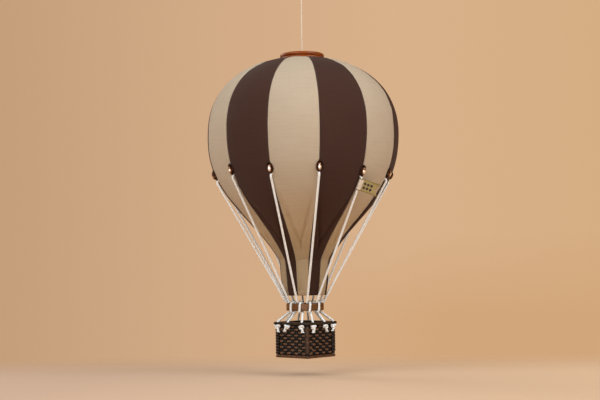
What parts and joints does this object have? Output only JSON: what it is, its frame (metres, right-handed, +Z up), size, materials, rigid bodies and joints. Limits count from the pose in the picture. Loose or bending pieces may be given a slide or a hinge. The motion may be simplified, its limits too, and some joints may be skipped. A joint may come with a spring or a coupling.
{
  "type": "hanging decorative hot air balloon",
  "caption": "Cloth hot air balloon ornament in brown and beige gores, with a wooden crown ring, corded load ring and a square wicker basket, hung on a thin line.",
  "frame": {"origin": "inside the top of the loop that the balloon hangs by, on its upright axis", "axes": "+Z up along the hanging line; -Y is the front, where the beige gore shows and a basket corner points; +X is to the right of that view"},
  "size_m": [0.2074, 0.2074, 0.403],
  "materials": {
    "brown_cloth": "dark brown plain-woven cotton",
    "beige_cloth": "beige plain-woven cotton",
    "crown_wood": "turned wood, orange-brown stain, gloss varnish",
    "ring_wood": "turned wood, mid-brown stain, satin",
    "button_metal": "aged brass, darkened in the hollows",
    "cord_cotton": "cream braided cotton cord",
    "line_cotton": "thin pale twine",
    "wicker": "dark stained split willow, woven",
    "label_cloth": "olive woven tape"
  },
  "bodies": {
    "hanger": {"hang_line": "line_cotton", "hang_loop": "line_cotton"},
    "balloon": {"gore_01": "brown_cloth", "gore_02": "beige_cloth", "gore_03": "brown_cloth", "gore_04": "beige_cloth", "gore_05": "brown_cloth", "gore_06": "beige_cloth", "gore_07": "brown_cloth", "gore_08": "beige_cloth", "gore_09": "brown_cloth", "gore_10": "beige_cloth", "gore_11": "brown_cloth", "gore_12": "beige_cloth", "crown_ring": "crown_wood", "crown_disc": "crown_wood", "button_01": "button_metal", "button_02": "button_metal", "button_03": "button_metal", "button_04": "button_metal", "button_05": "button_metal", "button_06": "button_metal", "button_07": "button_metal", "button_08": "button_metal", "button_09": "button_metal", "button_10": "button_metal", "button_11": "button_metal", "button_12": "button_metal", "cord_01": "cord_cotton", "cord_02": "cord_cotton", "cord_03": "cord_cotton", "cord_04": "cord_cotton", "cord_05": "cord_cotton", "cord_06": "cord_cotton", "cord_07": "cord_cotton", "cord_08": "cord_cotton", "cord_09": "cord_cotton", "cord_10": "cord_cotton", "cord_11": "cord_cotton", "cord_12": "cord_cotton", "load_ring": "ring_wood", "basket_wall_1": "wicker", "basket_wall_2": "wicker", "basket_wall_3": "wicker", "basket_wall_4": "wicker", "basket_post_1": "wicker", "basket_post_2": "wicker", "basket_post_3": "wicker", "basket_post_4": "wicker", "basket_rim": "wicker", "basket_border": "wicker", "basket_floor": "wicker"},
    "label": {"label": "label_cloth"}
  },
  "joints": [
    {"name": "balloon_turn", "type": "hinge", "parent": "hanger", "child": "balloon", "pos_m": [0, 0, -0.082], "axis": [0, 0, 1], "continuous": true},
    {"name": "label_turn", "type": "hinge", "parent": "balloon", "child": "label", "pos_m": [0.05736, -0.06992, -0.22117], "axis": [-0.3224, 0.3798, -0.8671], "range_deg": [-40, 130]}
  ]
}
